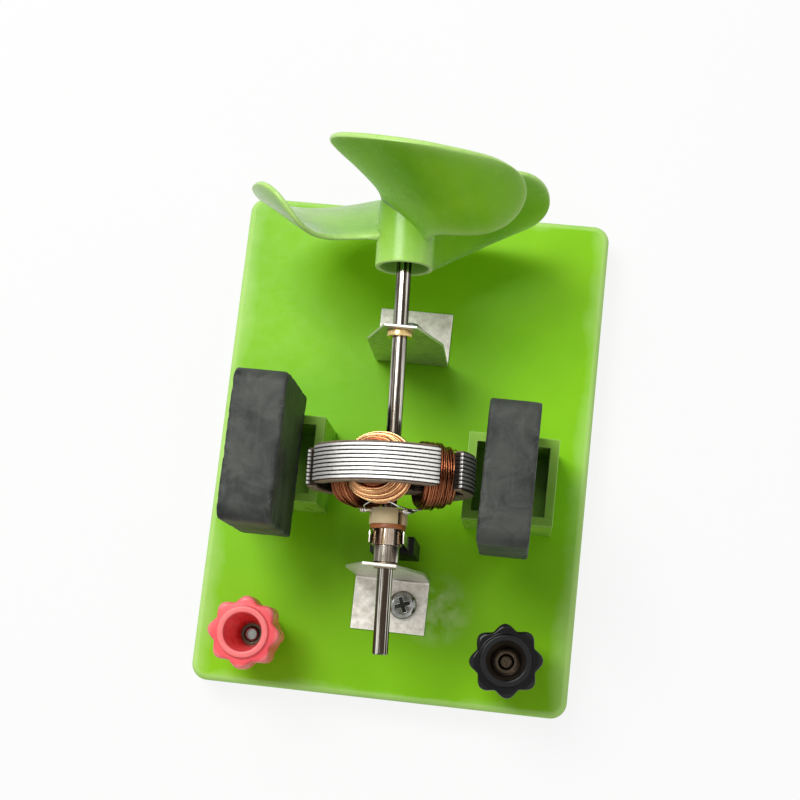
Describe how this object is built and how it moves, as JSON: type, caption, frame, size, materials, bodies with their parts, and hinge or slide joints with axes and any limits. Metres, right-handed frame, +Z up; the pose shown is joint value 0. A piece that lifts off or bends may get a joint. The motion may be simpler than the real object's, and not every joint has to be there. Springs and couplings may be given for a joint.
{
  "type": "demonstration electric motor",
  "caption": "Open classroom electric motor: wound rotor with commutator and fan between block magnets, on a moulded base with binding posts.",
  "frame": {"origin": "centre of the base's underside, on the surface it stands on", "axes": "+X right, +Y along the base towards the fan, +Z up"},
  "size_m": [0.08, 0.107, 0.0736],
  "materials": {
    "green_plastic": "lime green moulded plastic, semi-gloss",
    "pale_plastic": "pale green moulded plastic",
    "black_plastic": "glossy black plastic",
    "red_plastic": "glossy pink-red plastic",
    "cream_plastic": "cream insulating plastic",
    "fibre": "grey-brown insulating fibre",
    "orange_fibre": "orange-brown insulating ring",
    "steel": "zinc plated or plain steel",
    "bright_steel": "bright drawn steel",
    "brass": "turned brass",
    "spring_metal": "bright spring strip",
    "copper_wire": "enamelled copper wire",
    "ferrite": "matte black ferrite, worn grey on its edges",
    "red_wire": "red insulation",
    "black_wire": "black insulation"
  },
  "bodies": {
    "base": {"base_plate": "green_plastic", "left_magnet_holder": "pale_plastic", "right_magnet_holder": "pale_plastic", "holder_screws": "steel", "left_magnet": "ferrite", "right_magnet": "ferrite", "front_bracket": "steel", "rear_bracket": "steel", "bracket_screws": "steel", "front_bush": "brass", "rear_bush": "brass", "brush_holder": "black_plastic", "brush_holder_screw": "steel", "left_brush": "spring_metal", "right_brush": "spring_metal", "red_post_stud": "steel", "red_post_collar": "brass", "black_post_stud": "steel", "black_post_collar": "brass", "post_washers": "steel", "post_nuts": "brass", "red_solder_lug": "steel", "black_solder_lug": "steel", "red_lead": "red_wire", "black_lead": "black_wire"},
    "rotor": {"shaft": "bright_steel", "spacer_collar": "bright_steel", "commutator_segment_1": "bright_steel", "commutator_segment_2": "bright_steel", "commutator_segment_3": "bright_steel", "insulating_ring": "orange_fibre", "commutator_hub": "cream_plastic", "lamination_1": "steel", "lamination_2": "steel", "lamination_3": "steel", "lamination_4": "steel", "lamination_5": "steel", "lamination_6": "steel", "lamination_7": "steel", "lamination_8": "steel", "lamination_9": "steel", "front_insulating_sheet": "fibre", "rear_insulating_sheet": "fibre", "winding_1": "copper_wire", "winding_2": "copper_wire", "winding_3": "copper_wire", "fan": "green_plastic"},
    "red_clamp": {"red_clamp_washer": "brass"},
    "red_cap": {"red_post_cap": "red_plastic", "red_post_insert": "brass"},
    "black_clamp": {"black_clamp_washer": "brass"},
    "black_cap": {"black_post_cap": "black_plastic", "black_post_insert": "brass"}
  },
  "joints": [
    {"name": "rotor_spin", "type": "hinge", "parent": "base", "child": "rotor", "pos_m": [0.00045, 0, 0.0425], "axis": [-0.0489, 0.9988, 0], "continuous": true},
    {"name": "red_cap_lift", "type": "slide", "parent": "base", "child": "red_clamp", "axis": [0, 0, 1], "range_m": [0, 0.0025]},
    {"name": "red_cap_turn", "type": "hinge", "parent": "red_clamp", "child": "red_cap", "pos_m": [-0.0266, -0.043, 0.02], "axis": [0, 0, 1], "range_deg": [0, 1801]},
    {"name": "black_cap_lift", "type": "slide", "parent": "base", "child": "black_clamp", "axis": [0, 0, 1], "range_m": [0, 0.0025]},
    {"name": "black_cap_turn", "type": "hinge", "parent": "black_clamp", "child": "black_cap", "pos_m": [0.0266, -0.043, 0.02], "axis": [0, 0, 1], "range_deg": [0, 1801]}
  ],
  "couplings": [
    {"joint": "red_cap_turn", "follows": "red_cap_lift", "rad_per_m": 12566},
    {"joint": "black_cap_turn", "follows": "black_cap_lift", "rad_per_m": 12566}
  ]
}
